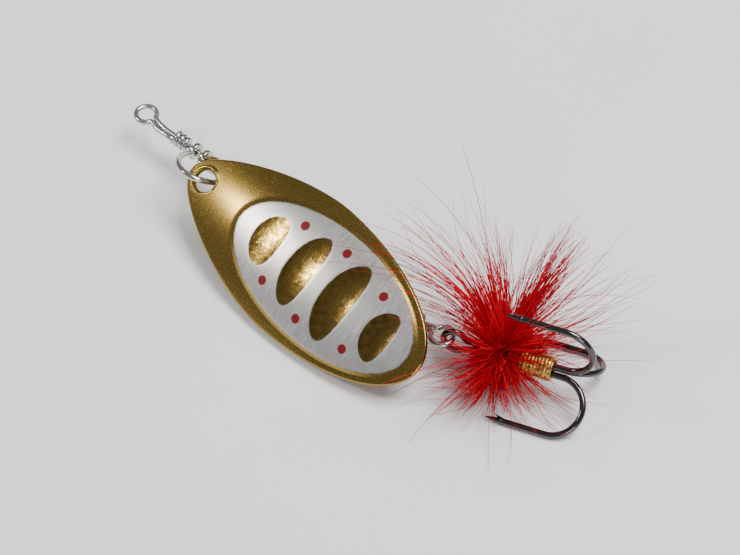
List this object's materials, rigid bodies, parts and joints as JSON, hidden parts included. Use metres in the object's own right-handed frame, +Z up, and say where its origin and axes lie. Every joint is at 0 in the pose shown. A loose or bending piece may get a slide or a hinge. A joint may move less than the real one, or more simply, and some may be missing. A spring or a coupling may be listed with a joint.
{
  "type": "inline spinner",
  "caption": "Inline fishing spinner: long gold blade on a wire clevis, threaded brass body with red beads, treble hook dressed in red hair.",
  "frame": {"origin": "centre of the line eye at the front of the shaft wire", "axes": "+X along the shaft from the line eye to the treble, +Z up as it lies on a table, +Y to the left seen from the line eye"},
  "size_m": [0.0833, 0.0297, 0.0151],
  "materials": {
    "steel_wire": "bright stainless wire",
    "nickel_wire": "nickel plated",
    "gold_blade": "gold plated, with a brushed silver field, red dots and gold windows",
    "brass": "polished",
    "red_bead": "clear red, glossy",
    "black_nickel": "black nickel",
    "red_thread": "tightly wound thread",
    "gold_tinsel": "metallic tinsel",
    "red_hair": "fine loose hair"
  },
  "bodies": {
    "shaft": {"shaft_wire": "steel_wire"},
    "clevis": {"clevis": "nickel_wire"},
    "blade": {"blade": "gold_blade"},
    "bearing_bead_front": {"bearing_bead_front": "brass"},
    "bearing_bead_rear": {"bearing_bead_rear": "brass"},
    "front_red_bead": {"front_red_bead": "red_bead"},
    "brass_body": {"brass_body": "brass"},
    "rear_red_bead": {"rear_red_bead": "red_bead"},
    "rear_brass_bead": {"rear_brass_bead": "brass"},
    "tail_red_bead": {"tail_red_bead": "red_bead"},
    "treble": {"double_hook": "black_nickel", "third_hook": "black_nickel", "thread_head": "red_thread", "tinsel_wrap": "gold_tinsel", "hair_tuft_1": "red_hair", "hair_tuft_2": "red_hair", "hair_tuft_3": "red_hair", "hair_tuft_4": "red_hair", "hair_tuft_5": "red_hair", "hair_tuft_6": "red_hair", "hair_tuft_7": "red_hair"}
  },
  "joints": [
    {"name": "clevis_spin", "type": "hinge", "parent": "shaft", "child": "clevis", "pos_m": [0, 0, 0], "axis": [1, 0, 0], "continuous": true},
    {"name": "blade_flare", "type": "hinge", "parent": "clevis", "child": "blade", "pos_m": [0.0168, -0.00464, 0.00296], "axis": [-0.075, -0.8164, -0.5726], "range_deg": [0, 40]},
    {"name": "treble_swing", "type": "hinge", "parent": "shaft", "child": "treble", "pos_m": [0.0585, 0, 0], "axis": [0, 0, 1], "range_deg": [-53, 7]},
    {"name": "bearing_bead_front_spin", "type": "hinge", "parent": "shaft", "child": "bearing_bead_front", "pos_m": [0, 0, 0], "axis": [1, 0, 0], "continuous": true},
    {"name": "bearing_bead_rear_spin", "type": "hinge", "parent": "shaft", "child": "bearing_bead_rear", "pos_m": [0, 0, 0], "axis": [1, 0, 0], "continuous": true},
    {"name": "front_red_bead_spin", "type": "hinge", "parent": "shaft", "child": "front_red_bead", "pos_m": [0, 0, 0], "axis": [1, 0, 0], "continuous": true},
    {"name": "brass_body_spin", "type": "hinge", "parent": "shaft", "child": "brass_body", "pos_m": [0, 0, 0], "axis": [1, 0, 0], "continuous": true},
    {"name": "rear_red_bead_spin", "type": "hinge", "parent": "shaft", "child": "rear_red_bead", "pos_m": [0, 0, 0], "axis": [1, 0, 0], "continuous": true},
    {"name": "rear_brass_bead_spin", "type": "hinge", "parent": "shaft", "child": "rear_brass_bead", "pos_m": [0, 0, 0], "axis": [1, 0, 0], "continuous": true},
    {"name": "tail_red_bead_spin", "type": "hinge", "parent": "shaft", "child": "tail_red_bead", "pos_m": [0, 0, 0], "axis": [1, 0, 0], "continuous": true}
  ]
}
